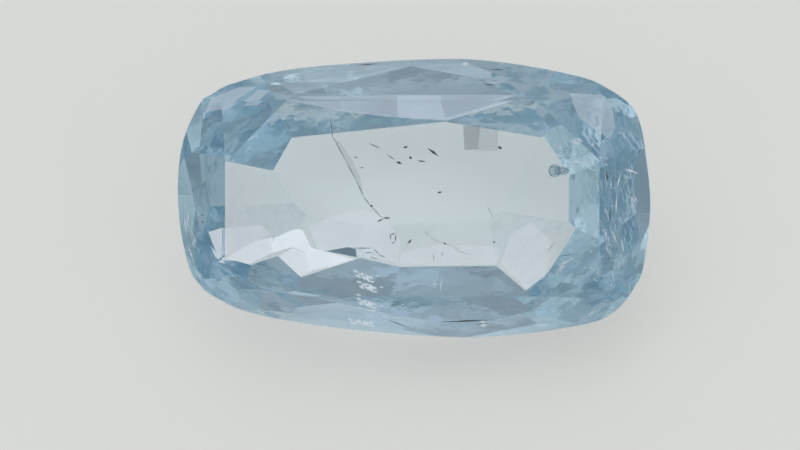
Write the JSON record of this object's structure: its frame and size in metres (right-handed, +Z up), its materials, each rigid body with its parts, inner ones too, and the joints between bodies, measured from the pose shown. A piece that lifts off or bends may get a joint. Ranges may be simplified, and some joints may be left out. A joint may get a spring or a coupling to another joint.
{
  "type": "cut sapphire gemstone",
  "caption": "Pale blue sapphire cut as a long cushion, with a broad flat table, a low crown and a shallow pavilion, lying on one of its lower facets.",
  "frame": {"origin": "centre of the stone's bounding box, on the surface that it lies on", "axes": "+X along the stone's length, +Z up from the surface that it lies on; the table faces up and towards -Y"},
  "size_m": [0.0142, 0.0076, 0.0053],
  "materials": {
    "sapphire": "polished"
  },
  "bodies": {
    "root": {"sapphire": "sapphire"}
  },
  "joints": []
}
